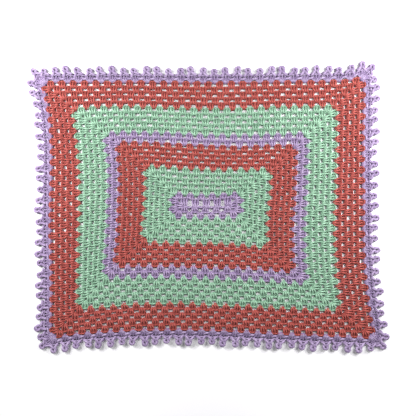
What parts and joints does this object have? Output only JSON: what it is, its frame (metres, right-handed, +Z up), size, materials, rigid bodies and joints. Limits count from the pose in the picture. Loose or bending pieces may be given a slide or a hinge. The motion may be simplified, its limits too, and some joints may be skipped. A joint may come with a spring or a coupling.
{
  "type": "granny square blanket",
  "caption": "Crocheted granny blanket laid flat: an oblong of treble clusters worked in rounds from a short centre, in bands of coral, mint and lavender, edged with shells and picot loops.",
  "frame": {"origin": "on the surface that the blanket lies on, under the middle of its box", "axes": "+X along the long side, +Y along the short side, +Z up out of the upper face"},
  "size_m": [0.7536, 0.6072, 0.005],
  "materials": {
    "coral_yarn": "matt plied yarn, worsted weight",
    "mint_yarn": "matt plied yarn, worsted weight",
    "lavender_yarn": "matt plied yarn, worsted weight"
  },
  "bodies": {
    "root": {"blanket_body": "coral_yarn", "picot_edging": "lavender_yarn"}
  },
  "joints": []
}
